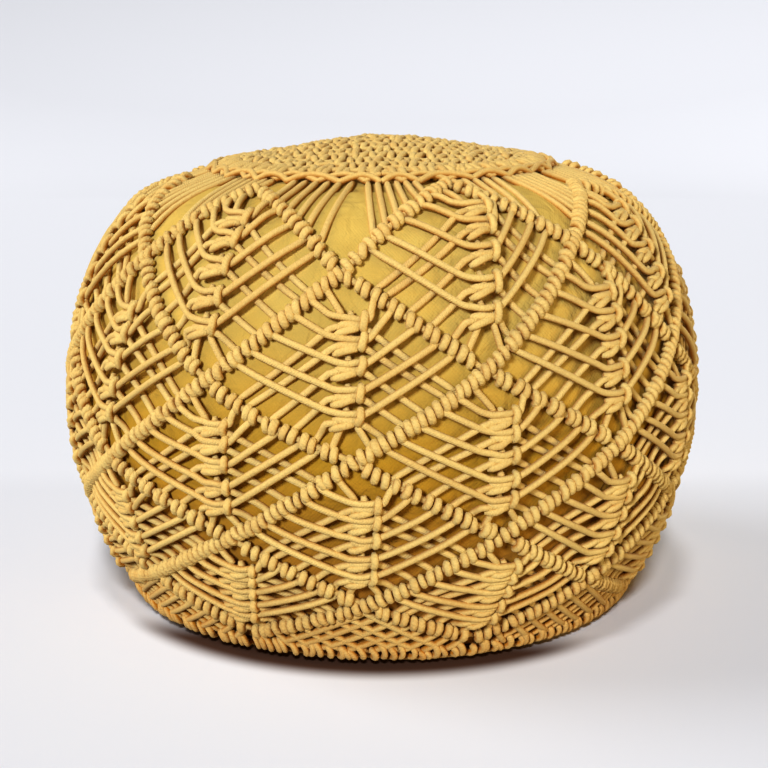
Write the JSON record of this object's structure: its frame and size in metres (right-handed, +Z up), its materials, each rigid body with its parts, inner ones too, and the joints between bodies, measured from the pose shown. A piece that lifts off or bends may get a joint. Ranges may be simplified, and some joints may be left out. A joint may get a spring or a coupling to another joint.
{
  "type": "macrame pouf",
  "caption": "Round floor pouf: a filled mustard canvas cushion held in a net of knotted cotton cord, with a worked round panel and a rope ring on top and a flat cord base.",
  "frame": {"origin": "centre of the flat base, on the floor", "axes": "+Z up through the crown; -Y towards the viewer of the picture, +X to the right"},
  "size_m": [0.5006, 0.4998, 0.353],
  "materials": {
    "canvas": "plain woven mustard cotton canvas, matt",
    "cotton_cord": "soft mustard cotton cord, matt"
  },
  "bodies": {
    "root": {"inner_cushion": "canvas", "side_net": "cotton_cord", "top_panel": "cotton_cord", "top_ring": "cotton_cord", "base_panel": "cotton_cord"}
  },
  "joints": []
}
